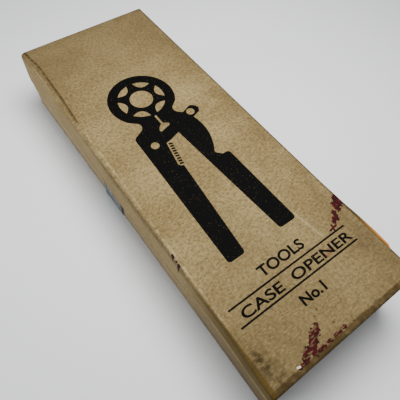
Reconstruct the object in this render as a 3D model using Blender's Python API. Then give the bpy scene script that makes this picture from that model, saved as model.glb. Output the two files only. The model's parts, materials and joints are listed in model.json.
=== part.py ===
"""Boxed case opener: a cloth-covered carton with the plier-type opener packed inside it.

Frame: origin at the centre of the carton's underside, +X across the lid, +Y towards the end where the
opener's clamp ring lies, +Z up. Lengths are metres: MM turns the drawing's millimetres into them.
"""

import math

import bmesh
import bpy
from mathutils import Matrix, Vector

MM = 0.001
GAP = 0.3 * MM  # between pieces that touch

# Carton
BOX_W, BOX_L, BOX_H = 110 * MM, 302 * MM, 52 * MM
LID_BOARD = 1.2 * MM
TRAY_BOARD = 1.5 * MM
SKIRT = 22 * MM  # depth of the lid's side walls
CORNER_R = 1.6 * MM
TRAY_W, TRAY_L = BOX_W - 2 * (LID_BOARD + GAP), BOX_L - 2 * (LID_BOARD + GAP)
TRAY_H = BOX_H - LID_BOARD - GAP
ROOM_W, ROOM_L = TRAY_W - 2 * TRAY_BOARD, TRAY_L - 2 * TRAY_BOARD  # inside the tray
LABEL_Y, LABEL_W, LABEL_T = 19.5 * MM, 25 * MM, 0.2 * MM

# Packing
PAD_TOP = 20 * MM
BLOCK_TOP = 40 * MM
RING_ROOM = 2.6 * MM  # between the clamp ring and the head block
TAIL_ROOM = 2 * MM  # between the handles' ends and the tail block
TONGUE_W, TONGUE_L, TONGUE_TAPER = 15 * MM, 34 * MM, 2 * MM
TONGUE_SHIFT = -5 * MM  # the room between the handles lies this far from the ring's centre line
LID_PAD_T, LID_PAD_ROOM = 1.5 * MM, 3 * MM

# Opener: x and y from the clamp ring's centre
RING_X, RING_Y = -1.3 * MM, 95 * MM
RING_R, BORE_R = 41 * MM, 30.4 * MM
SLIT_LEFT, SLIT_RIGHT = -2.1 * MM, 0.4 * MM
SPLIT = 0.2 * MM  # half the gap between the two halves of the ring, at its top
HANDLE_END, HANDLE_END_R = -228.6 * MM, 4 * MM
LEVER_Z, LEVER_T = 25.6 * MM, 10 * MM
EDGE = 0.6 * MM  # bevel on the forged edges
THROUGH = MM  # how far a cutter runs past the faces that it cuts

# Collet in the ring
COLLET_R, RIM_R, HUB_R, CRYSTAL_R = 30 * MM, 28.6 * MM, 20.1 * MM, 14.3 * MM
COLLET_T = 8 * MM
WINDOW_HALF = 20.5  # degrees, half of a window's outer arc
COLLET_SLIT, SLIT_HALF = -55, 0.35 * MM  # the slit's direction in degrees, and half its width

# Cam link: two plates pinned to the left lever, with a pin that runs on the right lever's edge
PIVOT = Vector((-25.6 * MM, -69.9 * MM))
CAM_PIN = Vector((37.7 * MM, -49.5 * MM))
PIN_R, ROLLER_R = 3.2 * MM, 4.8 * MM
PLATE_T, PLATE_W = 2.4 * MM, 15.5 * MM
LUG_R, LUG_SWEEP, NECK_L = 10.4 * MM, 118, 9 * MM
SQUEEZE = math.radians(1.5)
LINK_TURNS = 22.0  # degrees of link for each degree of squeeze
CAM_RUN = 1.62  # the cam edge is cut for this many times the swing in use
COLLAR_R, COLLAR_T = 5.6 * MM, 1.6 * MM
COLLAR_SPLIT = 20  # degrees either side of +X that the collar leaves open at its bore

# Spring that pulls the link down the cam
SPRING_R, POST_R = 1.9 * MM, 1.1 * MM
SPRING_TOP = Vector((-7.2 * MM, -66.5 * MM))  # on the link's post
SPRING_FOOT = Vector((-15.6 * MM, -106.5 * MM))  # on the floor of the left lever's recess
LEVER_POST = Vector((-17.0 * MM, -113.0 * MM))

for old in list(bpy.data.objects):
    bpy.data.objects.remove(old, do_unlink=True)


def material(name, colour, roughness, metallic=0.0):
    made = bpy.data.materials.new(name)
    made.use_nodes = True
    shader = made.node_tree.nodes["Principled BSDF"]
    shader.inputs["Base Color"].default_value = (*colour, 1.0)
    shader.inputs["Roughness"].default_value = roughness
    shader.inputs["Metallic"].default_value = metallic
    return made


def add_object(name, mesh_maker, finish, place=(0.0, 0.0, 0.0)):
    """Puts a bmesh in the scene as a named object, shaded smooth across its rounded edges."""
    mesh = bpy.data.meshes.new(name)
    bmesh.ops.recalc_face_normals(mesh_maker, faces=mesh_maker.faces)
    mesh_maker.to_mesh(mesh)
    mesh_maker.free()
    mesh.shade_smooth()
    mesh.set_sharp_from_angle(angle=math.radians(25))
    made = bpy.data.objects.new(name, mesh)
    made.location = place
    made.data.materials.append(material(name, *finish))
    bpy.context.collection.objects.link(made)
    return made


def arc(centre, radius, start, end, steps):
    """Points on a round stretch, angles in degrees."""
    points = []
    for step in range(steps + 1):
        angle = math.radians(start + (end - start) * step / steps)
        points.append(Vector(centre) + radius * Vector((math.cos(angle), math.sin(angle))))
    return points


def prism(outline, z_low, z_high, edge=0.0):
    """A plate with this outline. Its upper and lower rims are rounded by edge."""
    shape = bmesh.new()
    floor = shape.faces.new([shape.verts.new((p[0], p[1], z_low)) for p in outline])
    grown = bmesh.ops.extrude_face_region(shape, geom=[floor])["geom"]
    top = [v for v in grown if isinstance(v, bmesh.types.BMVert)]
    bmesh.ops.translate(shape, verts=top, vec=(0, 0, z_high - z_low))
    if edge:
        rims = [e for e in shape.edges if abs(e.verts[0].co.z - e.verts[1].co.z) < GAP / 10]
        bmesh.ops.bevel(
            shape, geom=rims, offset=edge, segments=2, profile=0.5, affect="EDGES", material=-1
        )
    return shape


def cut(target, outline, z_low, z_high):
    """Cuts a hole of this outline through the target."""
    cutter = add_object(target.name + "_cutter", prism(outline, z_low, z_high), ((1, 0, 0), 0.5))
    cutter.location = target.location
    cutter.hide_render = True
    cutter.display_type = "WIRE"
    boolean = target.modifiers.new("cut", "BOOLEAN")
    boolean.operation = "DIFFERENCE"
    boolean.solver = "EXACT"
    boolean.object = cutter


def disc(radius, steps=32):
    return arc((0, 0), radius, 0, 360 - 360 / steps, steps - 1)


def block(width, length, z_low, z_high):
    half_w, half_l = width / 2, length / 2
    corners = [(-half_w, -half_l), (half_w, -half_l), (half_w, half_l), (-half_w, half_l)]
    return prism(corners, z_low, z_high)


# Carton: the tray, and the lid that slides down over it
def open_box(width, length, height, board, corner):
    """A box without a lid, standing on its floor."""
    shape = block(width, length, 0, height)
    posts = [e for e in shape.edges if abs(e.verts[0].co.z - e.verts[1].co.z) > height / 2]
    bmesh.ops.bevel(
        shape, geom=posts, offset=corner, segments=3, profile=0.5, affect="EDGES", material=-1
    )
    shape.faces.ensure_lookup_table()
    mouth = max(shape.faces, key=lambda face: face.calc_center_median().z)
    bmesh.ops.inset_region(shape, faces=[mouth], thickness=board, use_even_offset=True)
    well = bmesh.ops.extrude_discrete_faces(shape, faces=[mouth])["faces"]
    bmesh.ops.translate(shape, verts=well[0].verts, vec=(0, 0, board - height))
    return shape


CARTON = ((0.46, 0.37, 0.23), 0.85)
add_object("base_tray", open_box(TRAY_W, TRAY_L, TRAY_H, TRAY_BOARD, CORNER_R), CARTON)

lid_shape = open_box(BOX_W, BOX_L, SKIRT, LID_BOARD, CORNER_R)
bmesh.ops.rotate(lid_shape, verts=lid_shape.verts, matrix=Matrix.Rotation(math.pi, 3, "Y"))
add_object("lid", lid_shape, CARTON, (0, 0, BOX_H))

label_x = -TRAY_W / 2 - GAP - LABEL_T / 2
label = block(LABEL_T, LABEL_W, MM, BOX_H - SKIRT - MM)
add_object("side_label", label, ((0.30, 0.36, 0.40), 0.8), (label_x, LABEL_Y, 0))

# Packing: a spacer under the opener, and two blocks that stop it from sliding
CARD = ((0.55, 0.45, 0.31), 0.9)
lower_pad = block(ROOM_W - 2 * GAP, ROOM_L - 2 * GAP, TRAY_BOARD + GAP, PAD_TOP)
add_object("lower_pad", lower_pad, CARD)

half_room, room_end = ROOM_W / 2 - GAP, ROOM_L / 2 - GAP
bite = arc((RING_X, RING_Y), RING_R + RING_ROOM, 0, 180, 28)
head_outline = [
    (half_room, RING_Y), (half_room, room_end), (-half_room, room_end), (-half_room, RING_Y),
] + bite[::-1]
add_object("head_block", prism(head_outline, PAD_TOP + GAP, BLOCK_TOP), CARD)

tail_edge = RING_Y + HANDLE_END - TAIL_ROOM
tongue_x = RING_X + TONGUE_SHIFT
tail_outline = [
    (-half_room, -room_end), (half_room, -room_end), (half_room, tail_edge),
    (tongue_x + TONGUE_W / 2, tail_edge),
    (tongue_x + TONGUE_W / 2 - TONGUE_TAPER, tail_edge + TONGUE_L),
    (tongue_x - TONGUE_W / 2 + TONGUE_TAPER, tail_edge + TONGUE_L),
    (tongue_x - TONGUE_W / 2, tail_edge),
    (-half_room, tail_edge),
]
add_object("tail_block", prism(tail_outline, PAD_TOP + GAP, BLOCK_TOP), CARD)

lid_pad_w, lid_pad_l = ROOM_W - 2 * LID_PAD_ROOM, ROOM_L - 2 * LID_PAD_ROOM
lid_pad = block(lid_pad_w, lid_pad_l, TRAY_H - LID_PAD_T, TRAY_H)
add_object("lid_pad", lid_pad, CARD)

# Levers: each is half of the clamp ring with its handle
STEEL = ((0.62, 0.62, 0.60), 0.28, 1.0)
OPENER = (RING_X, RING_Y, 0)


def pt(x, y):
    return Vector((x * MM, y * MM))


def rounded_end(inner_x, outer_x):
    """A handle's end, from its inner side to its outer one, with a round corner on each."""
    side = 1 if outer_x > inner_x else -1
    inner = (inner_x + side * HANDLE_END_R, HANDLE_END + HANDLE_END_R)
    outer = (outer_x - side * HANDLE_END_R, HANDLE_END + HANDLE_END_R)
    if side > 0:
        return arc(inner, HANDLE_END_R, 180, 270, 5) + arc(outer, HANDLE_END_R, 270, 360, 5)
    return arc(inner, HANDLE_END_R, 360, 270, 5) + arc(outer, HANDLE_END_R, 270, 180, 5)


def polar(radius, angle):
    return radius * Vector((math.cos(math.radians(angle)), math.sin(math.radians(angle))))


ring_top = math.degrees(math.asin(SPLIT / RING_R))
bore_top = math.degrees(math.asin(SPLIT / BORE_R))
left_foot = 180 + math.degrees(math.acos(-SLIT_LEFT / BORE_R))
right_foot = -math.degrees(math.acos(SLIT_RIGHT / BORE_R))

left_outline = (
    arc((0, 0), RING_R, 90 + ring_top, 216, 22)
    + arc(pt(-30.6, -36.0), 7.2 * MM, 42, -62, 8)
    + arc(pt(-33.4, -53.6), 7.1 * MM, 98, 180, 6)
    + rounded_end(-26.2 * MM, -46.2 * MM)[::-1]
    + [pt(-14.5, -111.5), pt(-15.2, -110.0), pt(-18.9, -107.6), pt(-13.2, -74.0), pt(-11.8, -72.0)]
    + [pt(-9.4, -57.6)]
    + arc(pt(-2.0, -55.0), 7.4 * MM, 186, 118, 6)
    + [Vector((SLIT_LEFT, -47.2 * MM))]
    + arc((0, 0), BORE_R, left_foot, 90 + bore_top, 26)
)
left_lever = add_object("left_lever", prism(left_outline, LEVER_Z, LEVER_Z + LEVER_T, EDGE), STEEL)
left_lever.location = OPENER

# The cam edge is the path of the link's roller, seen from the right lever as that lever closes
FLEXURE = Vector((0, (RING_R + BORE_R) / 2))


def turned(point, centre, angle):
    return centre + Matrix.Rotation(angle, 2) @ (point - centre)


def cam_edge(steps=20):
    """Points on the right lever's edge that keep GAP clear of the roller all along its swing."""
    centres = []
    for step in range(-1, steps + 2):
        squeeze = CAM_RUN * SQUEEZE * step / steps
        roller = turned(CAM_PIN, PIVOT, -LINK_TURNS * squeeze)
        centres.append(turned(roller, FLEXURE, squeeze))
    edge = []
    for before, here, after in zip(centres, centres[1:], centres[2:]):
        way = (after - before).normalized()
        edge.append(here + (ROLLER_R + GAP) * Vector((way.y, -way.x)))
    return edge


right_outline = (
    arc((0, 0), RING_R, 90 - ring_top, -36, 22)
    + arc(pt(30.0, -36.0), 7.2 * MM, 138, 236, 8)
    + cam_edge()
    + arc(pt(31.4, -116.3), 6.6 * MM, 176, 270, 6)
    + arc(pt(36.1, -125.7), 2.8 * MM, 90, 0, 3)
    + rounded_end(20.2 * MM, 41.4 * MM)[::-1]
    + [pt(7.6, -74.0), pt(7.2, -60.0), pt(6.2, -52.6)]
    + [pt(4.2, -49.4), Vector((SLIT_RIGHT, -47.2 * MM))]
    + arc((0, 0), BORE_R, right_foot, 90 - bore_top, 26)
)
right_lever = add_object(
    "right_lever", prism(right_outline, LEVER_Z, LEVER_Z + LEVER_T, EDGE), STEEL
)
right_lever.location = OPENER

# Collet: a six-spoked ring with one slit, which closes on the crystal
NYLON = ((0.035, 0.036, 0.04), 0.5)
collet_z = LEVER_Z + (LEVER_T - COLLET_T) / 2
slit_half = math.degrees(SLIT_HALF / CRYSTAL_R)
outer_slit = math.degrees(SLIT_HALF / COLLET_R)
collet_outline = (
    arc((0, 0), COLLET_R, COLLET_SLIT + outer_slit, COLLET_SLIT + 360 - outer_slit, 56)
    + arc((0, 0), CRYSTAL_R, COLLET_SLIT + 360 - slit_half, COLLET_SLIT + slit_half, 44)
)
collet = add_object("collet", prism(collet_outline, collet_z, collet_z + COLLET_T), NYLON)
collet.location = OPENER
for spoke in range(6):
    middle = 60 * spoke
    low, high = polar(RIM_R, middle - WINDOW_HALF), polar(RIM_R, middle + WINDOW_HALF)
    window = arc((0, 0), RIM_R, middle - WINDOW_HALF, middle + WINDOW_HALF, 8)
    belly = polar(HUB_R, middle)
    for step in range(1, 8):
        share = step / 8
        curve = high * (1 - share) ** 2 + 2 * share * (1 - share) * (2 * belly - (low + high) / 2)
        window.append(curve + low * share ** 2)
    cut(collet, window, collet_z - THROUGH, collet_z + COLLET_T + THROUGH)

# Cam link: a plate on each face of the levers, with its pins
link_way = (CAM_PIN - PIVOT).normalized()
link_angle = math.degrees(math.atan2(link_way.y, link_way.x))
side_way = Vector((-link_way.y, link_way.x))


def link_outline():
    """A bar round the pivot, which ends in the lug that holds the cam pin."""
    heel = arc(PIVOT, PLATE_W / 2, link_angle + 90, link_angle + 270, 12)
    neck = CAM_PIN - NECK_L * link_way
    lug = arc(CAM_PIN, LUG_R, link_angle - LUG_SWEEP, link_angle + LUG_SWEEP, 16)
    return heel + [neck - side_way * PLATE_W / 2] + lug + [neck + side_way * PLATE_W / 2]


PLATE_LOW = LEVER_Z - GAP - PLATE_T
PLATE_HIGH = LEVER_Z + LEVER_T + GAP
for plate_name, plate_z in (("link_back", PLATE_LOW), ("link_front", PLATE_HIGH)):
    plate = add_object(plate_name, prism(link_outline(), plate_z, plate_z + PLATE_T, EDGE / 2), STEEL)
    plate.location = OPENER
    for hole_centre in (PIVOT, CAM_PIN):
        hole = [point + hole_centre for point in disc(PIN_R + GAP)]
        cut(plate, hole, plate_z - THROUGH, plate_z + PLATE_T + THROUGH)
    post_hole = [point + SPRING_TOP for point in disc(POST_R + GAP, 16)]
    cut(plate, post_hole, plate_z - THROUGH, plate_z + PLATE_T + THROUGH)

pivot_hole = [point + PIVOT for point in disc(PIN_R + GAP)]
cut(left_lever, pivot_hole, LEVER_Z - THROUGH, LEVER_Z + LEVER_T + THROUGH)
post_hole = [point + LEVER_POST for point in disc(POST_R + GAP, 16)]
cut(left_lever, post_hole, LEVER_Z - THROUGH, LEVER_Z + LEVER_T + THROUGH)

BRIGHT = ((0.75, 0.74, 0.70), 0.18, 1.0)
PIN_LOW, PIN_HIGH = PLATE_LOW - COLLAR_T - GAP, PLATE_HIGH + PLATE_T + COLLAR_T + GAP


def opener_place(point):
    return (RING_X + point.x, RING_Y + point.y, 0)


def collar():
    """A retaining collar, split on one side so that it snaps on to its pin."""
    inner = PIN_R + GAP
    mouth = COLLAR_SPLIT * inner / COLLAR_R
    outside = arc((0, 0), COLLAR_R, mouth, 360 - mouth, 28)
    return outside + arc((0, 0), inner, 360 - COLLAR_SPLIT, COLLAR_SPLIT, 24)


for pin_name, pin_place in (("pivot", PIVOT), ("cam", CAM_PIN)):
    pin = prism(disc(PIN_R), PIN_LOW, PIN_HIGH, EDGE / 2)
    add_object(pin_name + "_pin", pin, BRIGHT, opener_place(pin_place))
    for end, collar_z in (("back", PIN_LOW), ("front", PLATE_HIGH + PLATE_T + GAP)):
        ring = prism(collar(), collar_z, collar_z + COLLAR_T)
        add_object(f"{pin_name}_collar_{end}", ring, BRIGHT, opener_place(pin_place))

tyre = prism(disc(ROLLER_R), LEVER_Z, LEVER_Z + LEVER_T)
roller = add_object("cam_roller", tyre, BRIGHT, opener_place(CAM_PIN))
cut(roller, disc(PIN_R + GAP), LEVER_Z - THROUGH, LEVER_Z + LEVER_T + THROUGH)

# Spring: its own envelope, and the two posts that its hooks go round
spring_way = (SPRING_FOOT - SPRING_TOP).normalized()
spring_top = SPRING_TOP + (POST_R + GAP) * spring_way
half_spring = (SPRING_FOOT - spring_top).length / 2
spring = prism(disc(SPRING_R, 16), -half_spring, half_spring)
tilt = Vector((*spring_way, 0)).to_track_quat("Z", "Y").to_matrix()
bmesh.ops.rotate(spring, verts=spring.verts, matrix=tilt)
return_spring = add_object("return_spring", spring, STEEL, opener_place((spring_top + SPRING_FOOT) / 2))
return_spring.location.z = LEVER_Z + LEVER_T / 2

link_post = prism(disc(POST_R, 16), PLATE_LOW, PLATE_HIGH + PLATE_T)
add_object("spring_post_link", link_post, BRIGHT, opener_place(SPRING_TOP))
lever_post = prism(disc(POST_R, 16), LEVER_Z, LEVER_Z + LEVER_T)
add_object("spring_post_lever", lever_post, BRIGHT, opener_place(LEVER_POST))
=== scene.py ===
import json
import math

import bmesh
import bpy
from mathutils import Euler, Matrix, Vector, noise


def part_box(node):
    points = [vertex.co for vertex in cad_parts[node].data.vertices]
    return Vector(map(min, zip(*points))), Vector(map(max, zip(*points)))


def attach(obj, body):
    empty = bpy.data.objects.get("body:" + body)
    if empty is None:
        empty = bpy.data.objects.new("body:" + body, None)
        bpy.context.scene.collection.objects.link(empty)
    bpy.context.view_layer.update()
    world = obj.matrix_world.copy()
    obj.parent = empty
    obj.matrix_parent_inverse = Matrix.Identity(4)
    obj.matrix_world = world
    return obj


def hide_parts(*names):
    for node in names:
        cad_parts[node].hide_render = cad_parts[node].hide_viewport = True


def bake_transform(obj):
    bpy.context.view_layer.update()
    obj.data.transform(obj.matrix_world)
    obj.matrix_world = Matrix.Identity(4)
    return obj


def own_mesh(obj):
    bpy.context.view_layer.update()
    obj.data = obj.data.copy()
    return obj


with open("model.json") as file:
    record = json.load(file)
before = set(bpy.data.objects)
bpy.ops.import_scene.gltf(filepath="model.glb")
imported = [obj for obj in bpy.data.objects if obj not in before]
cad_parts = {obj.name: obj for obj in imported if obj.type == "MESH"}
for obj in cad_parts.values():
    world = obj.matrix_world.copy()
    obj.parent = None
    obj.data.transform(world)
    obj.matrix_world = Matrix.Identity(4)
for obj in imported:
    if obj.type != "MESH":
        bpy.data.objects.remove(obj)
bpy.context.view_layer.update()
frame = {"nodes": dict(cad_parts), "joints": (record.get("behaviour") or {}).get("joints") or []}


# Tray: the carton's lower half, grey millboard scored and folded up, with a tan cloth-grained cover
# paper glued over its walls and turned in at the top.
MM = 0.001
tray_low, tray_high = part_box("base_tray")
lid_low, lid_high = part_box("lid")
TRAY_BOARD, TRAY_FOLD = 1.5 * MM, 1.2 * MM
TRAY_BOW = 0.35 * MM  # how far the long walls have bowed inwards
LID_LAP = 20 * MM  # about the height of wall that the lid covers, which stays flat
PAPER_DARK = (0.040, 0.024, 0.0075)
PAPER_MID = (0.136, 0.097, 0.038)
PAPER_LIGHT = (0.188, 0.138, 0.059)
# Paler paper for the walls, partly from fading and partly painted light
PAPER_FADED_AND_LIT = (0.200, 0.147, 0.068)
PAPER_THREAD = (0.320, 0.250, 0.125)
FOXING = (0.030, 0.015, 0.004)
# Painted shade for the tray's walls towards the near end
TRAY_SHADE = (0.055, 0.036, 0.009)
MILLBOARD, MILLBOARD_PALE = (0.250, 0.190, 0.115), (0.330, 0.265, 0.175)
WALL_FADE_AND_LIGHT = 0.45  # how far the carton's walls go towards the paler colour: partly fading, partly painted light that makes up for the dimmer light on the walls


class Recipe:
    """One material's node tree, with short ways to add a node and to wire it."""

    def __init__(self, name, roughness, metallic=0.0):
        self.material = bpy.data.materials.new(name)
        self.material.use_nodes = True
        self.tree = self.material.node_tree
        self.shader = self.tree.nodes["Principled BSDF"]
        self.shader.inputs["Roughness"].default_value = roughness
        self.shader.inputs["Metallic"].default_value = metallic
        self.place = self.add("ShaderNodeTexCoord").outputs["Object"]

    def add(self, kind, inputs=None, **settings):
        made = self.tree.nodes.new(kind)
        for key, value in settings.items():
            setattr(made, key, value)
        for key, value in (inputs or {}).items():
            if isinstance(value, bpy.types.NodeSocket):
                self.tree.links.new(value, made.inputs[key])
            else:
                made.inputs[key].default_value = value
        return made

    def math(self, operation, first, second=0.0, clamp=False):
        made = self.add("ShaderNodeMath", {0: first, 1: second}, operation=operation)
        made.use_clamp = clamp
        return made.outputs[0]

    def step(self, value, low, high, out_low=0.0, out_high=1.0):
        """Turns a value into a soft mask between two levels."""
        made = self.add(
            "ShaderNodeMapRange",
            {0: value, 1: low, 2: high, 3: out_low, 4: out_high},
            interpolation_type="SMOOTHSTEP",
        )
        return made.outputs[0]

    def speckle(self, scale, detail=3.0, stretch=(1, 1, 1), turn=0.0):
        """Noise from 0 to 1 whose grains measure about 1 / scale metres."""
        spread = self.add(
            "ShaderNodeMapping", {0: self.place, "Rotation": (0, 0, turn), "Scale": stretch}
        )
        grain = self.add(
            "ShaderNodeTexNoise", {"Vector": spread.outputs[0], "Scale": scale, "Detail": detail}
        )
        return grain.outputs[0]

    def mix(self, share, first, second):
        made = self.add("ShaderNodeMix", data_type="RGBA")
        for index, value in ((0, share), (6, first), (7, second)):
            if isinstance(value, bpy.types.NodeSocket):
                self.tree.links.new(value, made.inputs[index])
            elif index:
                made.inputs[index].default_value = (*value, 1)
            else:
                made.inputs[index].default_value = value
        return made.outputs[2]

    def axis(self, name):
        return self.add("ShaderNodeSeparateXYZ", {0: self.place}).outputs[name]

    def painted(self, name):
        """An amount that the piece's mesh carries at each point."""
        return self.add("ShaderNodeAttribute", attribute_name=name).outputs["Fac"]

    def both(self, *masks):
        """Where all these masks are on."""
        whole = masks[0]
        for mask in masks[1:]:
            whole = self.math("MULTIPLY", whole, mask)
        return whole

    def either(self, *masks):
        """Where at least one of these masks is on."""
        whole = masks[0]
        for mask in masks[1:]:
            whole = self.math("MAXIMUM", whole, mask)
        return whole

    def colour(self, socket):
        self.tree.links.new(socket, self.shader.inputs["Base Color"])

    def roughen(self, socket):
        self.tree.links.new(socket, self.shader.inputs["Roughness"])

    def bump(self, height, strength, distance):
        made = self.add(
            "ShaderNodeBump", {"Height": height, "Strength": strength, "Distance": distance}
        )
        self.tree.links.new(made.outputs[0], self.shader.inputs["Normal"])


def cover_colour(recipe):
    """The aged cover paper: tan, with a fine dark fibre, brown foxing, soft smudges and pale threads."""
    cloud = recipe.step(recipe.speckle(26, 4), 0.34, 0.68)
    smudge = recipe.step(recipe.speckle(115, 4), 0.52, 0.74)
    fibre = recipe.step(recipe.speckle(520, 5), 0.40, 0.66)
    fleck = recipe.step(recipe.speckle(800, 2), 0.60, 0.76)
    thread = recipe.step(recipe.speckle(380, 3, (1, 4, 1), math.radians(12)), 0.52, 0.72)
    colour = recipe.mix(cloud, PAPER_MID, PAPER_LIGHT)
    colour = recipe.mix(recipe.math("MULTIPLY", smudge, 0.20), colour, PAPER_DARK)
    colour = recipe.mix(recipe.math("MULTIPLY", fibre, 0.46), colour, PAPER_DARK)
    colour = recipe.mix(recipe.math("MULTIPLY", fleck, 0.50), colour, FOXING)
    return recipe.mix(recipe.math("MULTIPLY", thread, 0.42), colour, PAPER_THREAD)


def cover_bump(recipe):
    """The cloth grain pressed into the cover paper, over the board's own unevenness."""
    weft = recipe.speckle(900, 2, (0.35, 1.6, 1))
    warp = recipe.speckle(900, 2, (1.6, 0.35, 1))
    lumps = recipe.speckle(160, 3)
    grain = recipe.math("ADD", weft, warp)
    recipe.bump(recipe.math("ADD", grain, lumps), 0.7, 0.00035)


def make_piece(name, shape, body, material, replaced=(), crease=32):
    """Makes a bmesh a piece, smooth but for its sharp folds, which rides on a body if given one."""
    mesh = bpy.data.meshes.new(name)
    shape.to_mesh(mesh)
    shape.free()
    mesh.shade_smooth()
    mesh.set_sharp_from_angle(angle=math.radians(crease))
    mesh.materials.append(material)
    piece = bpy.data.objects.new(name, mesh)
    bpy.context.scene.collection.objects.link(piece)
    if body:
        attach(piece, body)
    if replaced:
        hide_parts(*replaced)
    return piece


def slice_at(shape, axis, places):
    """Cuts the whole mesh across one axis at each of these places."""
    normal = Vector((axis == "x", axis == "y", axis == "z"))
    for place in places:
        everything = shape.verts[:] + shape.edges[:] + shape.faces[:]
        bmesh.ops.bisect_plane(
            shape, geom=everything, dist=1e-7, plane_co=normal * place, plane_no=normal
        )


def carton_shell(low, high, fold, cell):
    """An open box with rounded folds, its mouth up, cut into even cells so that its walls can be bent."""
    size = high - low
    shape = bmesh.new()
    bmesh.ops.create_cube(shape, size=1)
    bmesh.ops.scale(shape, verts=shape.verts, vec=size)
    bmesh.ops.translate(shape, verts=shape.verts, vec=(low + high) / 2)
    mouth = max(shape.faces, key=lambda face: face.calc_center_median().z)
    bmesh.ops.delete(shape, geom=[mouth], context="FACES_ONLY")
    folds = [edge for edge in shape.edges if not edge.is_boundary]
    bmesh.ops.bevel(
        shape, geom=folds, offset=fold, segments=4, profile=0.5, affect="EDGES", material=-1
    )
    for along_axis, axis in enumerate("xyz"):
        room = size[along_axis] - 2 * fold
        cuts = max(2, round(room / cell))
        slice_at(shape, axis, [low[along_axis] + fold + room * cut / cuts for cut in range(cuts + 1)])
    bmesh.ops.recalc_face_normals(shape, faces=shape.faces)
    return shape


def board_walls(piece, board, lining):
    """Gives a bent shell its board thickness, inwards, with bare board on the inside."""
    piece.data.materials.append(lining)
    walls = piece.modifiers.new("board", "SOLIDIFY")
    walls.thickness = board
    walls.offset = -1
    walls.use_even_offset = True
    walls.material_offset = 1


bare_board = Recipe("bare_millboard", 0.94)
board_fleck = bare_board.step(bare_board.speckle(650, 3), 0.40, 0.72)
bare_board.colour(bare_board.mix(board_fleck, MILLBOARD, MILLBOARD_PALE))
bare_board.bump(bare_board.speckle(700, 3), 0.35, 0.0002)

tray_cover = Recipe("tray_cover", 0.86)
dusty_foot = tray_cover.step(tray_cover.axis("Z"), 12 * MM, 0.0, 0, 0.6)
soil = tray_cover.both(dusty_foot, tray_cover.step(tray_cover.speckle(60), 0.3, 0.7))
# Painted shade: the tray's walls darken towards the near end, where less light reaches them.
near_end_shade = tray_cover.step(tray_cover.axis("Y"), -40 * MM, -140 * MM, 0, 0.80)
# The walls go paler, partly from fading and partly as painted light that brightens them.
faded_and_lit = tray_cover.mix(WALL_FADE_AND_LIGHT, cover_colour(tray_cover), PAPER_FADED_AND_LIT)
shaded_tray = tray_cover.mix(near_end_shade, faded_and_lit, TRAY_SHADE)
tray_cover.colour(tray_cover.mix(soil, shaded_tray, PAPER_DARK))
cover_bump(tray_cover)

tray_shape = carton_shell(tray_low, tray_high, TRAY_FOLD, 7 * MM)
for vert in tray_shape.verts:
    wave = noise.noise(Vector((vert.co.x * 20, vert.co.y * 14, vert.co.z * 30)))
    middle = 1 - abs(vert.co.y / tray_high.y) ** 4
    if vert.co.z < tray_high.z - LID_LAP and abs(vert.co.x) > tray_high.x - 2 * MM:
        vert.co.x -= math.copysign(TRAY_BOW * (0.5 + wave) * middle, vert.co.x)
tray = make_piece(
    "tray", tray_shape, "carton", tray_cover.material, ("base_tray",)
)
board_walls(tray, TRAY_BOARD, bare_board.material)


# Side label: a blue-grey printed paper slip pasted on the tray's left wall, its edges lifting a
# little. Pale bars stand for its lines of print.
label_low, label_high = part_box("side_label")
LABEL_BLUE = (0.026, 0.038, 0.047)
LABEL_FADED = (0.052, 0.064, 0.071)
LABEL_PALE = (0.26, 0.27, 0.25)
SLIP_T, SLIP_LIFT, SLIP_EDGE = 0.12 * MM, 0.35 * MM, 3.0 * MM

label_paper = Recipe("label_paper", 0.7)
label_fade = label_paper.step(label_paper.speckle(260, 4), 0.38, 0.70)
label_paper.colour(label_paper.mix(label_fade, LABEL_BLUE, LABEL_FADED))
label_paper.bump(label_paper.speckle(1500, 2), 0.2, 0.0001)

label_shape = bmesh.new()
bmesh.ops.create_grid(label_shape, x_segments=12, y_segments=12, size=0.5)
bmesh.ops.scale(
    label_shape,
    verts=label_shape.verts,
    vec=(label_high.z - label_low.z, label_high.y - label_low.y, 1),
)
bmesh.ops.rotate(
    label_shape, verts=label_shape.verts, matrix=Matrix.Rotation(math.radians(-90), 3, "Y")
)
bmesh.ops.translate(label_shape, verts=label_shape.verts, vec=(label_low + label_high) / 2)
for vert in label_shape.verts:
    edge_room = min(vert.co.y - label_low.y, label_high.y - vert.co.y)
    lift = max(0.0, 1 - edge_room / SLIP_EDGE) * (0.5 + noise.noise(vert.co * 120))
    vert.co.x = label_high.x - 0.05 * MM - SLIP_LIFT * max(0.0, lift)
side_label = make_piece(
    "label_slip", label_shape, "carton", label_paper.material, ("side_label",)
)
slip = side_label.modifiers.new("paper", "SOLIDIFY")
slip.thickness = SLIP_T
slip.offset = 0

pale_ink = Recipe("label_pale_ink", 0.75)
pale_ink.colour(
    pale_ink.mix(pale_ink.step(pale_ink.speckle(900, 2), 0.48, 0.62), LABEL_PALE, LABEL_BLUE)
)
label_print = bmesh.new()
# Each line of print: its height on the wall, its length and its bars' height, in millimetres
for row, (row_z, row_length, bar_height) in enumerate(
    ((23.5, 14, 3.0), (14.5, 17, 2.6), (10.0, 15, 1.4), (5.5, 10, 2.2))
):
    marks = 7 + 3 * (row % 2)
    for mark in range(marks):
        mark_y = label_low.y + 4 * MM + row_length * MM * mark / marks
        bar = bmesh.ops.create_cube(label_print, size=1)["verts"]
        bmesh.ops.scale(
            label_print, verts=bar, vec=(0.06 * MM, row_length * MM / marks * 0.62, bar_height * MM)
        )
        bmesh.ops.translate(
            label_print, verts=bar, vec=(label_high.x - 0.13 * MM, mark_y, row_z * MM)
        )
make_piece("label_marks", label_print, "carton", pale_ink.material)


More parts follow.
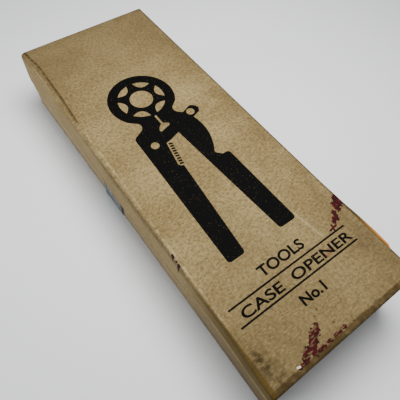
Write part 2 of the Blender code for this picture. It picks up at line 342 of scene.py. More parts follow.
# Packing: grey-brown millboard. A folded spacer carries the opener, and two die-cut blocks, glued up
# from layers, keep it from sliding. A thin liner is glued inside the lid.
CARD_BROWN = (0.310, 0.225, 0.125)
CARD_PALE = (0.430, 0.340, 0.215)
CARD_LINE = (0.150, 0.100, 0.055)
CARD_LAYER = 2.0 * MM

card = Recipe("packing_card", 0.92)
layer_wave = card.math("SINE", card.math("MULTIPLY", card.axis("Z"), 2 * math.pi / CARD_LAYER))
layers = card.step(layer_wave, -0.2, 0.9)
card_fibre = card.step(card.speckle(800, 4, (1, 0.25, 1)), 0.35, 0.75)
normal_z = card.add("ShaderNodeNewGeometry").outputs["Normal"]
upright = card.math("ABSOLUTE", card.add("ShaderNodeSeparateXYZ", {0: normal_z}).outputs["Z"])
side_only = card.math("SUBTRACT", 1.0, card.step(upright, 0.3, 0.7))
card_colour = card.mix(card_fibre, CARD_BROWN, CARD_PALE)
card_lines = card.math("MULTIPLY", card.math("MULTIPLY", layers, side_only), 0.6)
card.colour(card.mix(card_lines, card_colour, CARD_LINE))
card.bump(card.math("SUBTRACT", card_fibre, card_lines), 0.5, 0.0003)


def welded_copy(node):
    """A CAD node's mesh as a welded bmesh, its flat faces whole again."""
    shape = bmesh.new()
    shape.from_mesh(frame["nodes"][node].data)
    bmesh.ops.remove_doubles(shape, verts=shape.verts, dist=0.02 * MM)
    bmesh.ops.dissolve_limit(
        shape, angle_limit=math.radians(1), verts=shape.verts, edges=shape.edges
    )
    return shape


def soften(shape, radius, steps, least=30):
    """Rounds the folds of a solid that are sharper than least degrees."""
    folds = [e for e in shape.edges if e.is_manifold and e.calc_face_angle() > math.radians(least)]
    bmesh.ops.bevel(
        shape, geom=folds, offset=radius, offset_type="OFFSET", segments=steps, profile=0.5,
        affect="EDGES", material=-1, clamp_overlap=True,
    )


for card_node, card_body in (
    ("lower_pad", "carton"), ("head_block", "carton"), ("tail_block", "carton"), ("lid_pad", "lid"),
):
    card_shape = welded_copy(card_node)
    soften(card_shape, 0.35 * MM, 2)
    make_piece(
        "card_" + card_node, card_shape, card_body, card.material, (card_node,)
    )


# Levers: two drop-forged handles, each with half of the clamp ring, ground flat on both faces and
# nickel plated to a satin finish.
steel = Recipe("satin_nickel", 0.3, 1.0)
STEEL_GREY, STEEL_WARM = (0.47, 0.465, 0.45), (0.60, 0.59, 0.565)
lapping = steel.speckle(900, 3, (6, 0.35, 1), math.radians(8))
cloudy = steel.step(steel.speckle(45, 3), 0.38, 0.68)
steel.colour(steel.mix(cloudy, STEEL_GREY, STEEL_WARM))
handled = steel.math("MULTIPLY", steel.speckle(70, 4), 0.22)
steel.roughen(steel.math("ADD", steel.math("MULTIPLY", lapping, 0.18), steel.math("ADD", handled, 0.12)))
steel.bump(steel.math("ADD", lapping, steel.speckle(220, 2)), 0.12, 0.0001)

for lever_node, lever_body in (("left_lever", "opener"), ("right_lever", "right_lever")):
    lever_shape = welded_copy(lever_node)
    make_piece(
        lever_node.replace("lever", "handle"), lever_shape, lever_body,
        steel.material, (lever_node,), 40,
    )


# Collet: a black moulded nylon ring with six spokes and one slit, which grips the crystal. The real
# ring bends between the two halves of the clamp ring as they close; here it is one fixed piece.
NYLON_BLACK, NYLON_BLOOM = (0.012, 0.012, 0.013), (0.028, 0.028, 0.030)
nylon = Recipe("collet_nylon", 0.5)
nylon_bloom = nylon.step(nylon.speckle(120, 4), 0.42, 0.72)
nylon.colour(nylon.mix(nylon_bloom, NYLON_BLACK, NYLON_BLOOM))
nylon.bump(nylon.speckle(1800, 2), 0.25, 0.0001)

collet_shape = welded_copy("collet")
soften(collet_shape, 0.25 * MM, 2, 50)
collet = make_piece(
    "collet_ring", collet_shape, None, nylon.material, ("collet",), 40
)
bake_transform(collet)


# Cam link: two steel plates on either face of the levers, the pivot pin, and the cam pin with its
# roller. A plain round collar closes each end of a pin.
POLISHED_DULL, POLISHED_CLEAN = (0.66, 0.65, 0.62), (0.78, 0.77, 0.74)
bright = Recipe("polished_steel", 0.16, 1.0)
polish = bright.step(bright.speckle(160, 3), 0.4, 0.7)
bright.colour(bright.mix(polish, POLISHED_DULL, POLISHED_CLEAN))
bright.roughen(bright.math("ADD", bright.math("MULTIPLY", bright.speckle(500), 0.16), 0.08))

for bright_node in (
    "pivot_pin", "cam_pin", "cam_roller", "spring_post_link", "spring_post_lever",
    "pivot_collar_back", "pivot_collar_front", "cam_collar_back", "cam_collar_front",
):
    frame["nodes"][bright_node].data.materials.clear()
    frame["nodes"][bright_node].data.materials.append(bright.material)
for plate_node in ("link_back", "link_front"):
    frame["nodes"][plate_node].data.materials.clear()
    frame["nodes"][plate_node].data.materials.append(steel.material)


# Return spring: drawn steel wire, close-wound, which pulls on the link. Its hook goes round the
# link's post and turns with the link, and its straight lower end reaches the left handle's post.
spring_low, spring_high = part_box("return_spring")
WIRE_R, COIL_TURNS, STEPS_A_TURN = 0.42 * MM, 13, 14
HOOK_TURN = 250  # degrees of wire round the post
WIRE_DULL, WIRE_CLEAN = (0.30, 0.295, 0.28), (0.46, 0.45, 0.43)

wire = Recipe("spring_wire", 0.32, 1.0)
wire.colour(wire.mix(wire.step(wire.speckle(400), 0.4, 0.7), WIRE_DULL, WIRE_CLEAN))

post_low, post_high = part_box("spring_post_link")
anchor_low, anchor_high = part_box("spring_post_lever")
hook_centre = (post_low + post_high) / 2
hook_centre.z = (spring_low.z + spring_high.z) / 2
foot = (anchor_low + anchor_high) / 2
foot.z = hook_centre.z
spring_way = (foot - hook_centre).normalized()
hook_r = (post_high.x - post_low.x) / 2 + WIRE_R
coil_r = (spring_high.z - spring_low.z) / 2 - WIRE_R
coil_start = hook_centre + spring_way * (hook_r + 2.5 * WIRE_R)
coil_length = (spring_low.y - coil_start.y) / spring_way.y
coil_side = Vector((0, 0, 1))


def wire_end(shape, centre, normal):
    """A short round of wire, facing along normal, ready to be spun or extruded."""
    turn = normal.to_track_quat("Z", "Y").to_matrix().to_4x4()
    place = Matrix.Translation(centre) @ turn
    return bmesh.ops.create_circle(shape, segments=8, radius=WIRE_R, matrix=place)["verts"]


def wire_run(shape, start, end):
    """Straight wire from one point to another."""
    ring = wire_end(shape, start, (end - start).normalized())
    edges = list({edge for vert in ring for edge in vert.link_edges})
    grown = bmesh.ops.extrude_edge_only(shape, edges=edges)["geom"]
    far = [vert for vert in grown if isinstance(vert, bmesh.types.BMVert)]
    bmesh.ops.translate(shape, verts=far, vec=end - start)


def close_wire(shape):
    """Caps the cut ends of the wire."""
    open_ends = [edge for edge in shape.edges if edge.is_boundary]
    bmesh.ops.holes_fill(shape, edges=open_ends, sides=8)
    bmesh.ops.recalc_face_normals(shape, faces=shape.faces)


spring_shape = bmesh.new()
coil_ring = wire_end(spring_shape, coil_start + coil_side * coil_r, spring_way.cross(coil_side))
coil_edges = list({edge for vert in coil_ring for edge in vert.link_edges})
coil_steps = COIL_TURNS * STEPS_A_TURN
bmesh.ops.spin(
    spring_shape, geom=coil_ring + coil_edges, cent=coil_start, axis=spring_way,
    dvec=spring_way * coil_length / coil_steps, angle=2 * math.pi * COIL_TURNS, steps=coil_steps,
)
hook_side = spring_way.cross(coil_side).normalized()
wire_run(spring_shape, hook_centre + hook_side * hook_r, coil_start + coil_side * coil_r)
coil_end = coil_start + spring_way * coil_length
wire_run(spring_shape, coil_end + coil_side * coil_r, foot)
close_wire(spring_shape)
spring = make_piece(
    "tension_spring", spring_shape, "opener", wire.material, ("return_spring",), 50
)

hook_shape = bmesh.new()
hook_ring = wire_end(hook_shape, hook_centre + hook_side * hook_r, spring_way)
hook_edges = list({edge for vert in hook_ring for edge in vert.link_edges})
bmesh.ops.spin(
    hook_shape, geom=hook_ring + hook_edges, cent=hook_centre, axis=coil_side,
    angle=math.radians(-HOOK_TURN), steps=20,
)
close_wire(hook_shape)
make_piece("spring_hook", hook_shape, "cam_link", wire.material, (), 50)

swing = next(joint for joint in frame["joints"] if joint["name"] == "cam_link_swing")
pivot = Vector(swing["pos_m"])
pivot.z = hook_centre.z
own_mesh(spring)


# Lid: the carton's upper half, tan cover paper over thin board. Its left fold has slumped and its
# right wall has burst near one end, so that the raw board shows. Old nail varnish has run on to it.
LID_BOARD, LID_FOLD = 1.2 * MM, 1.5 * MM
RAW_BOARD = (0.30, 0.105, 0.008)
# Painted shade towards the lid's ends
END_SHADE = (0.058, 0.040, 0.016)
THUMB_BROWN = (0.040, 0.022, 0.014)
CORNER_DIRT = (0.022, 0.013, 0.003)
SCRATCHED = (0.320, 0.255, 0.140)
# Pale from rubbing, and a painted highlight, on the left fold
RUBBED_PALE_AND_HIGHLIGHT = (0.290, 0.225, 0.115)
# Dark grime, also used as painted shade on the folds and in the left crease
GRIME_AND_SHADE = (0.026, 0.0145, 0.0022)
# Painted shade on the lid's left wall towards the near end
OLIVE_SHADE = (0.060, 0.038, 0.005)
VARNISH_DEEP = (0.011, 0.0001, 0.0003)
VARNISH_RED = (0.032, 0.001, 0.0015)
VARNISH_THIN = (0.095, 0.020, 0.018)
VARNISH_BLACK = (0.015, 0.003, 0.004)
WHITE_PAINT = (0.42, 0.38, 0.30)
SLUMP_REACH = 6 * MM  # how far in from the left fold the panel is drawn along
SLUMP_FALL = 0.5  # how far the fold drops for each millimetre that it slumps
CREASE_DEPTH = 0.45 * MM
SIDE_RIPPLE, END_RIPPLE = 0.22 * MM, 0.25 * MM

# How far the left fold lies inside the lid's edge, how far the left wall's lower edge stands out,
# and how far the right wall stands out: (place along the lid, amount), in millimetres
FOLD_INSET = (
    (-151, -2.4), (-142, -2.2), (-113, -0.8), (-75, -0.6), (-58, 0.0), (-22, 0.5), (17, 1.2),
    (61, 1.7), (96, 3.4), (127, 4.1), (148, 1.7), (151, 1.5),
)
LEFT_FLARE = (
    (-151, 0.8), (-105, 0.0), (-60, 0.9), (-20, 1.7), (5, 2.1), (32, 0.9), (70, 1.2), (105, 1.6),
    (128, 2.0), (143, 1.0), (150, 0.2),
)
RIGHT_BURST = ((-131, 0.0), (-129, 1.3), (-118, 1.6), (-106, 1.3), (-90, 0.4), (-72, 0.0))


def ease(share):
    share = min(1.0, max(0.0, share))
    return share * share * (3 - 2 * share)


def along(y, knots):
    """Reads a smooth line through the knots at this place along the lid."""
    place = y / MM
    if place <= knots[0][0]:
        return knots[0][1] * MM
    for (start, low), (end, high) in zip(knots, knots[1:]):
        if place <= end:
            return (low + (high - low) * ease((place - start) / (end - start))) * MM
    return knots[-1][1] * MM


def slumped(place):
    """How far a point near the left fold has moved."""
    reach = ease((SLUMP_REACH - LID_FOLD - place.x + lid_low.x + LID_FOLD * 2) / SLUMP_REACH)
    inset = along(place.y, FOLD_INSET)
    inward, outward = max(inset, 0), max(-inset, 0)
    fold_bottom = lid_high.z - LID_FOLD
    if place.z >= fold_bottom - 0.01 * MM:
        roll = ease((place.x - lid_low.x) / LID_FOLD)
        return Vector(((inward * roll - outward) * reach, 0, -SLUMP_FALL * inward * (1 - roll)))
    depth = (fold_bottom - place.z) / (fold_bottom - lid_low.z)
    out = outward * (1 - depth) + along(place.y, LEFT_FLARE) * depth ** 0.8
    return Vector((-out * reach, 0, -SLUMP_FALL * inward * (1 - depth) * reach))


lid_shape = carton_shell(
    Vector((lid_low.x, lid_low.y, -lid_high.z)), Vector((lid_high.x, lid_high.y, -lid_low.z)),
    LID_FOLD, 3 * MM,
)
bmesh.ops.rotate(lid_shape, verts=lid_shape.verts, matrix=Matrix.Rotation(math.pi, 3, "Y"))
FOLD_LINE = lid_low.x + LID_FOLD
slice_at(lid_shape, "x", [FOLD_LINE + step * 0.35 * MM for step in range(1, 5)])
slice_at(lid_shape, "x", [-FOLD_LINE - step * 0.4 * MM for step in range(1, 3)])
slice_at(lid_shape, "y", [-130.2 * MM, -130.8 * MM, lid_low.y + LID_FOLD + 1.2 * MM])
slice_at(lid_shape, "z", [lid_high.z - level * MM for level in (4.2, 6.6, 8.2)])

creased = lid_shape.verts.layers.float.new("creased")
rubbed_and_highlit = lid_shape.verts.layers.float.new("rubbed_and_highlit")
torn = lid_shape.verts.layers.float.new("torn")
for vert in lid_shape.verts:
    x, y, z = vert.co
    ripple = noise.noise(Vector((x * 18, y * 18, z * 40)))
    scuff = noise.noise(Vector((y * 160, 3, x * 90)))
    on_line = FOLD_LINE - 0.05 * MM < x < FOLD_LINE + 1.1 * MM and z > lid_high.z - 0.1 * MM
    if on_line:
        # The crease, where the lid's material paints shade, and the pale fold, where it paints rubbing
        # wear and a highlight.
        crease = ease((y / MM - 58) / 6)
        vert[creased] = crease
        vert[rubbed_and_highlit] = ease((54 - y / MM) / 8) * ease((y / MM + 128) / 40) * min(1.0, 0.55 + 1.6 * scuff)
    if x < FOLD_LINE + SLUMP_REACH:
        vert.co += slumped(Vector((x, y, z)))
    if on_line:
        vert.co.z -= CREASE_DEPTH * crease
    if x > -FOLD_LINE - 0.85 * MM:
        out = along(y, RIGHT_BURST)
        depth = max(0.0, (lid_high.z - z) / (lid_high.z - lid_low.z))
        vert.co.x += out * (1 - 0.5 * depth) * ease((x + FOLD_LINE + 0.9 * MM) / MM)
        open_seam = ease((-100 - y / MM) / 22) * (y > -130.5 * MM)
        if z > lid_high.z - LID_FOLD * 0.75:
            vert[torn] = open_seam * (x > -FOLD_LINE - 0.1 * MM)
    if z < lid_high.z - 2 * MM and abs(x) > lid_high.x - MM:
        vert.co.x += math.copysign(SIDE_RIPPLE * ripple, x)
    if z < lid_high.z - 2 * MM and abs(y) > lid_high.y - MM:
        vert.co.y += math.copysign(END_RIPPLE * ripple, y)


def capsule(recipe, start, end, radius):
    """How deep in a streak each point of the lid lies: 1 on its line, 0 at its edge. In millimetres."""
    start, end = Vector((*start, 0)) * MM, Vector((*end, 0)) * MM
    way = end - start
    flat = recipe.add("ShaderNodeVectorMath", {0: recipe.place, 1: (1, 1, 0)}, operation="MULTIPLY")
    offset = recipe.add("ShaderNodeVectorMath", {0: flat.outputs[0], 1: start}, operation="SUBTRACT")
    reach = recipe.add("ShaderNodeVectorMath", {0: offset.outputs[0], 1: way}, operation="DOT_PRODUCT")
    share = recipe.math("DIVIDE", reach.outputs["Value"], way.length_squared, clamp=True)
    nearest = recipe.add("ShaderNodeVectorMath", {0: way, "Scale": share}, operation="SCALE")
    away = recipe.add(
        "ShaderNodeVectorMath", {0: offset.outputs[0], 1: nearest.outputs[0]}, operation="DISTANCE"
    )
    return recipe.add(
        "ShaderNodeMapRange", {0: away.outputs["Value"], 1: radius * MM, 2: 0.0, 3: 0.0, 4: 1.0}
    ).outputs[0]


BLOT_EDGE = 0.34  # how far inside a streak its colour begins


def blot(recipe, streaks, broken):
    """Streaks run together into one mark, its edge the more ragged the more it is broken."""
    whole = None
    for streak in streaks:
        inside = capsule(recipe, *streak)
        whole = inside if whole is None else recipe.math("MAXIMUM", whole, inside)
    rag = recipe.math("MULTIPLY", recipe.math("SUBTRACT", recipe.speckle(620, 4), 0.5), broken)
    covered = recipe.step(recipe.math("ADD", whole, rag), BLOT_EDGE - 0.06, BLOT_EDGE + 0.06)
    return recipe.math("MULTIPLY", covered, recipe.step(whole, 0.0, 0.12))


# Brush strokes and spots: start, end and half width, in millimetres on the lid
VARNISH_SIDE = (
    ((52.6, -86.8), (51.6, -91.5), 3.4), ((48.6, -89.5), (48.4, -94.0), 2.6),
    ((44.3, -94.0), (42.6, -97.6), 2.7), ((42.0, -96.8), (39.0, -98.6), 2.2),
    ((36.4, -99.2), (35.4, -103.4), 1.0), ((38.6, -100.8), (33.0, -101.6), 1.0),
)
VARNISH_END = (
    ((-14.6, -136.4), (-16.6, -138.6), 1.9), ((-17.0, -138.4), (-25.0, -143.6), 3.8),
    ((-20.6, -141.6), (-25.5, -146.2), 3.2), ((-27.0, -143.6), (-31.0, -146.2), 3.0),
    ((-31.5, -146.4), (-36.8, -147.4), 1.5),
)
VARNISH_TRAIL = (
    ((-23.0, -146.9), (-18.6, -147.2), 1.6), ((-15.6, -147.0), (-13.6, -147.1), 1.5),
    ((-10.4, -146.7), (-6.2, -146.7), 1.4), ((-4.2, -146.4), (-2.2, -146.4), 1.5),
)
VARNISH_DROPS = (
    ((-54.2, -59.0), (-54.6, -60.8), 1.0), ((-54.8, -66.0), (-55.0, -67.4), 1.0),
    ((-54.6, -63.6), (-54.6, -64.2), 0.7),
)
DARK_FLECKS = (
    ((-8.6, -130.6), (-8.4, -131.0), 0.8), ((-6.1, -141.0), (-5.7, -141.2), 0.8),
    ((-12.2, -132.6), (-12.0, -133.0), 0.6), ((3.6, -147.0), (4.0, -147.2), 0.8),
)
VARNISH_SMEAR = (((24.4, -109.5), (20.1, -112.0), 1.8),)
PAINT_SPOT = (((-37.6, -146.5), (-36.2, -146.8), 0.9),)


def on_top(recipe):
    """The lid's top panel, without its walls."""
    return recipe.step(recipe.axis("Z"), lid_high.z - 4 * MM, lid_high.z - 1 * MM)


def soiled_and_shaded_paper(recipe):
    """The cover paper on the lid, with painted shade towards its edges, beside the crease and towards its
    ends, its walls paler from fading and from painted light, and painted shade on its left wall towards
    the near end.
    """
    x, y, z = recipe.axis("X"), recipe.axis("Y"), recipe.axis("Z")
    # Painted shade: the top darkens beside the left crease and towards its edges, in patches.
    beside_crease = recipe.both(
        recipe.step(x, -42 * MM, -52 * MM), recipe.step(y, 45 * MM, 80 * MM, 0, 0.40)
    )
    edges = recipe.either(
        recipe.step(x, 26 * MM, 54 * MM, 0, 0.36),
        recipe.step(x, -47 * MM, -54 * MM, 0, 0.30),
        recipe.step(y, lid_high.y - 12 * MM, lid_high.y - 1 * MM, 0, 0.5),
        recipe.step(y, lid_low.y + 10 * MM, lid_low.y + 3 * MM, 0, 0.42),
        beside_crease,
    )
    patchy = recipe.step(recipe.speckle(70, 4), 0.35, 0.68, 0.15, 1.0)
    paper = cover_colour(recipe)
    paper = recipe.mix(recipe.both(edges, patchy, on_top(recipe)), paper, PAPER_DARK)
    # Painted shade: the top darkens towards both ends, where the light falls off.
    ends = recipe.either(
        recipe.step(y, 25 * MM, 150 * MM, 0, 0.52), recipe.step(y, -30 * MM, -155 * MM, 0, 0.36)
    )
    paper = recipe.mix(recipe.both(ends, on_top(recipe)), paper, END_SHADE)
    # The lid's walls go paler too, partly from fading and partly as painted light that brightens them.
    on_walls = recipe.step(z, lid_high.z - 1 * MM, lid_high.z - 4 * MM, 0, WALL_FADE_AND_LIGHT)
    paper = recipe.mix(on_walls, paper, PAPER_FADED_AND_LIT)
    # Painted shade: the left wall darkens towards the near end, where less light reaches it.
    left_wall_shade = recipe.both(
        recipe.step(x, lid_low.x + 1.2 * MM, lid_low.x - 0.2 * MM),
        recipe.step(y, -62 * MM, -118 * MM, 0, 0.92),
        recipe.step(z, lid_low.z + 3 * MM, lid_low.z + 8 * MM),
    )
    return recipe.mix(left_wall_shade, paper, OLIVE_SHADE)


def fold_grime_and_shade(recipe, paper):
    """Grime and painted shade on the folds round the top, a darker band high on the left wall, and on the
    left wall painted shade under its fold and a painted shadow at its foot.
    """
    x, y, z = recipe.axis("X"), recipe.axis("Y"), recipe.axis("Z")
    # Grime and painted shade along the folds round the top.
    ragged = recipe.math("MULTIPLY", recipe.math("SUBTRACT", recipe.speckle(330, 4), 0.5), 2.4 * MM)
    near_fold = recipe.step(
        recipe.math("ADD", y, ragged), lid_low.y + 4.3 * MM, lid_low.y + 3.1 * MM, 0, 0.88
    )
    right_fold = recipe.step(x, lid_high.x - 2.2 * MM, lid_high.x - 1.0 * MM, 0, 0.90)
    far_fold = recipe.step(y, lid_high.y - 2.2 * MM, lid_high.y - 0.8 * MM, 0, 0.85)
    at_folds = recipe.step(z, lid_high.z - 3.2 * MM, lid_high.z - 1.4 * MM, 0.04, 1.0)
    folds = recipe.both(recipe.either(near_fold, right_fold, far_fold), at_folds)
    upper_wall = recipe.both(
        recipe.step(x, lid_low.x + 0.9 * MM, lid_low.x + 0.2 * MM),
        recipe.step(z, lid_high.z - 6.4 * MM, lid_high.z - 5.9 * MM),
        recipe.step(y, 45 * MM, 10 * MM, 0, 0.3),
    )
    # Painted shade in a line under the left fold, and a painted shadow at the foot of the left wall,
    # where the lid's edge stands out from the tray.
    under_fold = recipe.both(
        recipe.step(z, lid_high.z - 3.5 * MM, lid_high.z - 3.1 * MM),
        recipe.step(z, lid_high.z - 2.2 * MM, lid_high.z - 2.6 * MM),
    )
    foot = recipe.step(z, lid_low.z + 1.5 * MM, lid_low.z + 0.6 * MM)
    lines = recipe.both(
        recipe.either(under_fold, foot),
        recipe.step(x, lid_low.x + 2.2 * MM, lid_low.x + 1.2 * MM),
        recipe.step(y, 72 * MM, 50 * MM),
        recipe.step(recipe.speckle(260, 4), 0.34, 0.60, 0.15, 0.85),
    )
    uneven = recipe.step(recipe.speckle(240, 4), 0.30, 0.62, 0.62, 1.0)
    return recipe.mix(recipe.both(recipe.either(folds, upper_wall, lines), uneven), paper, GRIME_AND_SHADE)


def handling_marks(recipe, paper):
    """A dirty near-left corner, a thumbed patch on the right, and a pale scratch."""
    corner = recipe.both(
        capsule(recipe, (-51, -131), (-48.5, -144), 7.5),
        recipe.step(recipe.speckle(300, 4), 0.40, 0.58, 0.25, 1.0),
    )
    paper = recipe.mix(corner, paper, CORNER_DIRT)
    thumbed = recipe.both(
        capsule(recipe, (42, -117), (46, -126), 13),
        recipe.step(recipe.speckle(210, 4), 0.36, 0.66, 0.05, 0.42),
    )
    paper = recipe.mix(thumbed, paper, THUMB_BROWN)
    scratch = recipe.both(capsule(recipe, (23.3, -80.3), (26.4, -101.0), 1.3), 0.35)
    return recipe.mix(scratch, paper, SCRATCHED)


def fold_wear(recipe, paper):
    """The left fold, with painted shade in its crease at its far end and pale elsewhere from rubbing and
    from a painted highlight, and the burst right one.
    """
    # Painted shade in the left fold's crease, broken up.
    crease_shade = recipe.step(recipe.speckle(330, 4), 0.30, 0.60, 0.35, 0.9)
    paper = recipe.mix(recipe.both(recipe.painted("creased"), crease_shade), paper, GRIME_AND_SHADE)
    # Pale along the left fold: rubbing wear and a painted highlight.
    scuffed = recipe.step(recipe.speckle(500, 3), 0.40, 0.62, 0.12, 0.7)
    paper = recipe.mix(recipe.both(recipe.painted("rubbed_and_highlit"), scuffed), paper, RUBBED_PALE_AND_HIGHLIGHT)
    burst = recipe.both(
        recipe.painted("torn"),
        recipe.step(recipe.axis("Z"), lid_high.z - 1.35 * MM, lid_high.z - 0.9 * MM),
    )
    return recipe.mix(burst, paper, RAW_BOARD)


def varnish_marks(recipe, paper):
    """Red nail varnish brushed and dripped on the lid, with dark flecks and a spot of white paint."""
    varnish = recipe.mix(recipe.step(recipe.speckle(420, 3), 0.35, 0.65), VARNISH_DEEP, VARNISH_RED)
    brushed = recipe.step(recipe.speckle(900, 2, (0.3, 1, 1)), 0.54, 0.64, 1.0, 0.35)
    side_mark = recipe.both(blot(recipe, VARNISH_SIDE, 1.7), on_top(recipe))
    end_mark = recipe.both(blot(recipe, VARNISH_END, 2.2), brushed, on_top(recipe))
    trail = recipe.both(blot(recipe, VARNISH_TRAIL, 2.1), brushed, on_top(recipe))
    for mark in (side_mark, end_mark, trail):
        paper = recipe.mix(mark, paper, varnish)
    paper = recipe.mix(blot(recipe, VARNISH_DROPS, 0.5), paper, VARNISH_BLACK)
    paper = recipe.mix(recipe.both(blot(recipe, DARK_FLECKS, 0.5), 0.8), paper, FOXING)
    paper = recipe.mix(recipe.both(blot(recipe, VARNISH_SMEAR, 1.3), 0.55), paper, VARNISH_THIN)
    return recipe.mix(blot(recipe, PAINT_SPOT, 1.1), paper, WHITE_PAINT)


lid_cover = Recipe("lid_cover", 0.8)
lid_cover.shader.inputs["Specular IOR Level"].default_value = 0.12
lid_paper = soiled_and_shaded_paper(lid_cover)
for marking in (fold_grime_and_shade, handling_marks, fold_wear, varnish_marks):
    lid_paper = marking(lid_cover, lid_paper)
lid_cover.colour(lid_paper)
cover_bump(lid_cover)
lid = make_piece("lid_cover", lid_shape, "lid", lid_cover.material, ("lid",))
board_walls(lid, LID_BOARD, bare_board.material)


# Print on the lid: black ink, a silhouette of the opener over the maker's and the tool's names.
# The names are generic words.
PRINT_SCALE = 0.588 * MM  # of the opener's drawing, whose ring measures 84 across
PRINT_X, PRINT_Y = -2.8 * MM, 56.0 * MM
INK_T = 0.05 * MM
INK_BLACK = (0.0016, 0.0016, 0.0016)
WORD_T = 0.02  # how thick words are before they are stretched to their place
RULE_T = 1.1 * MM

ink = Recipe("lid_ink", 0.7)
ink.shader.inputs["Specular IOR Level"].default_value = 0.02
pinholes = ink.step(ink.speckle(1100, 2), 0.655, 0.74)
thin_ink = ink.step(ink.speckle(260, 4), 0.62, 0.80)
bare = ink.math("MAXIMUM", ink.math("MULTIPLY", pinholes, 0.30), ink.math("MULTIPLY", thin_ink, 0.008))
ink.colour(ink.mix(bare, INK_BLACK, PAPER_MID))
ink.bump(ink.speckle(900, 2), 0.3, 0.0001)


def arc(centre, radius, start, end, steps):
    """Points on a round stretch, angles in degrees."""
    points = []
    for step in range(steps + 1):
        angle = math.radians(start + (end - start) * step / steps)
        points.append((centre[0] + radius * math.cos(angle), centre[1] + radius * math.sin(angle)))
    return points


def filled(name, drawing):
    """The inside of an outline, or some words, as a thin flat bmesh."""
    drawn = bpy.data.objects.new(name, drawing)
    bpy.context.scene.collection.objects.link(drawn)
    bpy.context.view_layer.update()
    mesh = bpy.data.meshes.new_from_object(drawn.evaluated_get(bpy.context.evaluated_depsgraph_get()))
    bpy.data.objects.remove(drawn)
    shape = bmesh.new()
    shape.from_mesh(mesh)
    return shape


def printed(name, loops, scale=PRINT_SCALE, place=(PRINT_X, PRINT_Y)):
    """Ink over the area inside these closed outlines. An outline inside another is a bare patch."""
    artwork = bpy.data.curves.new(name, "CURVE")
    artwork.dimensions = "2D"
    artwork.fill_mode = "BOTH"
    artwork.extrude = INK_T / 2 / scale
    for loop in loops:
        line = artwork.splines.new("POLY")
        line.points.add(len(loop) - 1)
        line.use_cyclic_u = True
        for point, (x, y) in zip(line.points, loop):
            point.co = (x, y, 0, 1)
    shape = filled(name, artwork)
    bmesh.ops.scale(shape, verts=shape.verts, vec=(scale, scale, scale))
    bmesh.ops.translate(shape, verts=shape.verts, vec=(*place, lid_high.z + INK_T / 2))
    return make_piece(name, shape, "lid", ink.material)


silhouette = (
    arc((0, 0), 42.2, 216, -36, 60)
    + arc((31.0, -37.0), 7.8, 136, 232, 10)
    + [(30.0, -47.0), (41.5, -42.6)]
    + arc((43.4, -46.2), 3.9, 104, 44, 4)
    + [(49.6, -46.6)] + arc((46.6, -50.4), 4.2, 34, -28, 4) + [(48.4, -56.2), (41.0, -58.9)]
    + [(37.0, -60.4), (38.2, -66.0), (38.9, -76.0), (38.6, -84.0), (37.2, -92.0)]
    + [(34.6, -100.0), (31.2, -108.0), (26.8, -115.4)]
    + arc((29.2, -118.0), 3.6, 150, 215, 4)
    + [(31.0, -125.0)]
    + arc((36.6, -129.1), 3.6, 90, 4, 5)
    + arc((39.0, -231.6), 3.8, 0, -90, 5)
    + arc((24.0, -231.6), 3.8, -90, -175, 5)
    + [(8.0, -75.0), (7.8, -70.0), (-5.4, -74.4), (-13.4, -76.0), (-19.8, -108.6), (-18.6, -111.2)]
    + [(-14.9, -113.4)]
    + arc((-30.2, -231.6), 3.8, 5, -90, 5)
    + arc((-43.8, -231.6), 3.8, -90, -180, 5)
    + [(-44.0, -130.0), (-41.5, -60.0)]
    + arc((-34.2, -55.6), 7.3, 180, 104, 7)
    + arc((-31.4, -37.4), 7.8, -68, 40, 10)
)
WINDOW_R, WINDOW_HALF, WINDOW_IN = 29.6, 21.5, 20.6  # outer radius, half its angle, inner reach
windows = []
for spoke in range(6):
    middle = 60 * spoke
    outer = arc((0, 0), WINDOW_R, middle - WINDOW_HALF, middle + WINDOW_HALF, 10)
    high, low = Vector(outer[-1]), Vector(outer[0])
    belly = WINDOW_IN * Vector((math.cos(math.radians(middle)), math.sin(math.radians(middle))))
    for step in range(1, 10):
        share = step / 10
        point = high * (1 - share) ** 2 + 2 * share * (1 - share) * (2 * belly - (low + high) / 2)
        outer.append(tuple(point + low * share ** 2))
    windows.append(outer)
slit = [
    (-2.2, -32.8), (0.4, -32.8), (0.4, -47.4), (2.6, -49.2), (6.2, -50.8), (6.6, -52.8),
    (5.2, -54.6), (-8.6, -58.6), (-9.8, -56.4), (-7.2, -51.8), (-4.4, -49.2), (-2.2, -48.2),
]
printed(
    "print_opener",
    [silhouette, arc((0, 0), 14.6, 0, 352, 44), slit, *windows,
     arc((-26.4, -72.0), 5.1, 0, 345, 23), arc((38.6, -51.2), 5.2, 0, 345, 23)],
)
PRINTED_COILS = 9
coils = []
for coil in range(PRINTED_COILS):
    share = (coil + 0.5) / PRINTED_COILS
    middle = Vector((-9.4, -76.6)).lerp(Vector((-15.6, -110.6)), share)
    coils.append([
        (middle.x - 2.3, middle.y + 1.0), (middle.x + 2.2, middle.y - 0.2),
        (middle.x + 2.0, middle.y - 2.7), (middle.x - 2.5, middle.y - 1.5),
    ])
printed("print_spring", coils)

RULE_X0, RULE_X1 = -48.5 * MM, 42.5 * MM
for rule, rule_y in enumerate((-103.7 * MM, -114.9 * MM)):
    low, high = rule_y - RULE_T / 2, rule_y + RULE_T / 2
    bar = [(RULE_X0, low), (RULE_X1, low), (RULE_X1, high), (RULE_X0, high)]
    printed(f"print_rule_{rule}", [bar], 1.0, (0, 0))


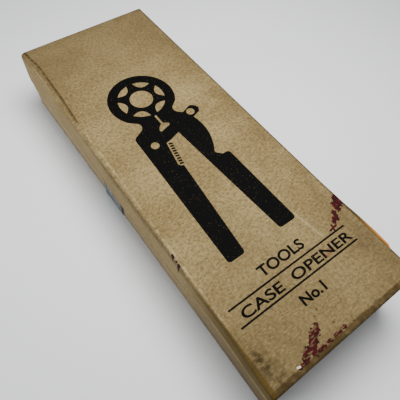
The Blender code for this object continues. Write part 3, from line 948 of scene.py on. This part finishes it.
def lettered(name, words, left, right, low, high, boldness):
    """Words in a plain face, stretched to fill a place on the lid."""
    text = bpy.data.curves.new(name, "FONT")
    text.body = words
    text.offset = boldness
    text.extrude = WORD_T / 2
    shape = filled(name, text)
    xs = [vert.co.x for vert in shape.verts]
    ys = [vert.co.y for vert in shape.verts]
    bmesh.ops.translate(shape, verts=shape.verts, vec=(-min(xs), -min(ys), 0))
    stretch = ((right - left) / (max(xs) - min(xs)), (high - low) / (max(ys) - min(ys)), INK_T / WORD_T)
    bmesh.ops.scale(shape, verts=shape.verts, vec=stretch)
    bmesh.ops.translate(shape, verts=shape.verts, vec=(left, low, lid_high.z + INK_T / 2))
    return make_piece(name, shape, "lid", ink.material)


lettered("print_maker", "TOOLS", -20.6 * MM, 13.2 * MM, -100.3 * MM, -93.3 * MM, 0.024)
lettered("print_name", "CASE  OPENER", -43.7 * MM, 41.3 * MM, -113.0 * MM, -106.6 * MM, 0.02)
lettered("print_number", "No.1", -12.2 * MM, 5.5 * MM, -126.4 * MM, -120.0 * MM, 0.03)


# Studio: a pale plain floor under a pale surround, with one soft light overhead and a low one for
# the carton's left wall.
FLOOR_PAINT, ROOM_PALE = (0.60, 0.61, 0.61), (0.80, 0.82, 0.84)

floor_shape = bmesh.new()
bmesh.ops.create_grid(floor_shape, x_segments=2, y_segments=2, size=3)
floor_mesh = bpy.data.meshes.new("floor")
floor_shape.to_mesh(floor_mesh)
floor_shape.free()
floor = bpy.data.objects.new("floor", floor_mesh)
bpy.context.scene.collection.objects.link(floor)
floor_paint = Recipe("floor_paint", 0.9)
floor_paint.shader.inputs["Base Color"].default_value = (*FLOOR_PAINT, 1)
floor_mesh.materials.append(floor_paint.material)


def softbox(name, place, aim, size, power, tint):
    lamp = bpy.data.lights.new(name, "AREA")
    lamp.shape = "RECTANGLE"
    lamp.size, lamp.size_y = size
    lamp.energy = power
    lamp.color = tint
    holder = bpy.data.objects.new(name, lamp)
    holder.location = place
    holder.rotation_euler = (Vector(aim) - Vector(place)).to_track_quat("-Z", "Y").to_euler()
    holder.visible_camera = False
    bpy.context.scene.collection.objects.link(holder)


softbox("ceiling_light", (0.07, 0.02, 0.42), (0.06, 0.01, 0), (0.26, 0.26), 4.5, (1, 0.995, 0.985))
softbox("wall_light", (-0.78, 0.42, 0.22), (-0.05, 0.04, 0.03), (0.45, 0.25), 7.2, (0.99, 0.99, 1))

world = bpy.data.worlds.new("studio")
world.use_nodes = True
world.node_tree.nodes["Background"].inputs["Color"].default_value = (*ROOM_PALE, 1)
world.node_tree.nodes["Background"].inputs["Strength"].default_value = 0.45
bpy.context.scene.world = world

lens = bpy.data.cameras.new("camera")
lens.lens = 36.0
lens.sensor_width = 36.0
lens.clip_start = 0.01
camera = bpy.data.objects.new("camera", lens)
camera.location = (-0.1042, -0.1378, 0.2659)
camera.rotation_euler = Euler([math.radians(angle) for angle in (31.365, -2.503, -36.5)])
bpy.context.scene.collection.objects.link(camera)
bpy.context.scene.camera = camera
